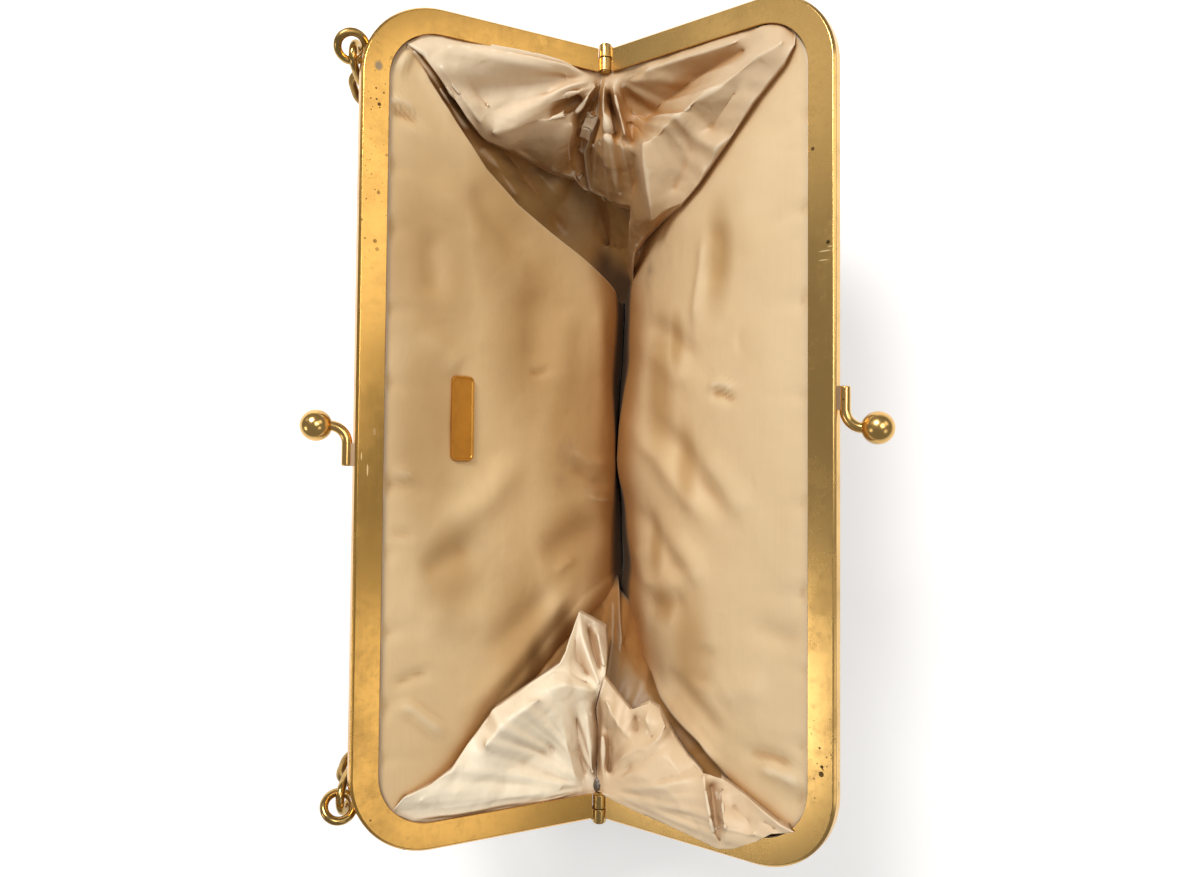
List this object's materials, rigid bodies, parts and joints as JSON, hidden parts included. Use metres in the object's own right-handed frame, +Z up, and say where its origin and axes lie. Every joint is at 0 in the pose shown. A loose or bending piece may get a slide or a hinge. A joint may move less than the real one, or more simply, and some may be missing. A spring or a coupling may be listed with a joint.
{
  "type": "frame clutch",
  "caption": "Open frame clutch: hinged brass channel halves with a kiss clasp, a chain handle, folded satin lining and a plain leather body.",
  "frame": {"origin": "middle of the flat base panel, on the table, straight under the middle of the hinge axis", "axes": "+Y along the hinge axis (the picture's upward direction), +X across the mouth to the half without the chain, +Z up"},
  "size_m": [0.165, 0.2532, 0.1098],
  "materials": {
    "brass": "worn polished brass",
    "braze": "dull coppery braze",
    "plate": "satin gilt",
    "satin": "champagne satin",
    "leather": "smooth brown leather",
    "cord": "twisted paper cord"
  },
  "bodies": {
    "bag": {"shell_base": "leather", "shell_left_panel": "leather", "shell_right_panel": "leather", "shell_front_gusset": "leather", "shell_rear_gusset": "leather", "lining_left_panel": "satin", "lining_right_panel": "satin", "lining_front_gusset": "satin", "lining_rear_gusset": "satin", "label_plate": "plate"},
    "left_half": {"left_frame": "brass", "left_knuckles": "brass", "front_hinge_pin": "brass", "rear_hinge_pin": "brass", "left_clasp_stem": "brass", "left_clasp_ball": "brass", "left_clasp_pad": "braze", "front_chain_loop": "brass", "rear_chain_loop": "brass", "left_edge_cord": "cord"},
    "right_half": {"right_frame": "brass", "right_knuckles": "brass", "right_clasp_stem": "brass", "right_clasp_ball": "brass", "right_clasp_pad": "braze", "right_edge_cord": "cord"},
    "chain": {"chain_links": "brass"}
  },
  "joints": [
    {"name": "left_close", "type": "hinge", "parent": "bag", "child": "left_half", "pos_m": [0, 0, 0.062], "axis": [0, 1, 0], "range_deg": [0, 57.8], "deforming": ["shell_left_panel", "lining_left_panel", "shell_front_gusset", "shell_rear_gusset", "lining_front_gusset", "lining_rear_gusset"]},
    {"name": "right_close", "type": "hinge", "parent": "bag", "child": "right_half", "pos_m": [0, 0, 0.062], "axis": [0, -1, 0], "range_deg": [0, 57.8], "deforming": ["shell_right_panel", "lining_right_panel"]},
    {"name": "chain_swing", "type": "hinge", "parent": "left_half", "child": "chain", "pos_m": [-0.07064, 0, 0.1003], "axis": [0, 1, 0], "range_deg": [-15, 120]}
  ],
  "couplings": [
    {"joint": "right_close", "follows": "left_close", "ratio": 1}
  ]
}
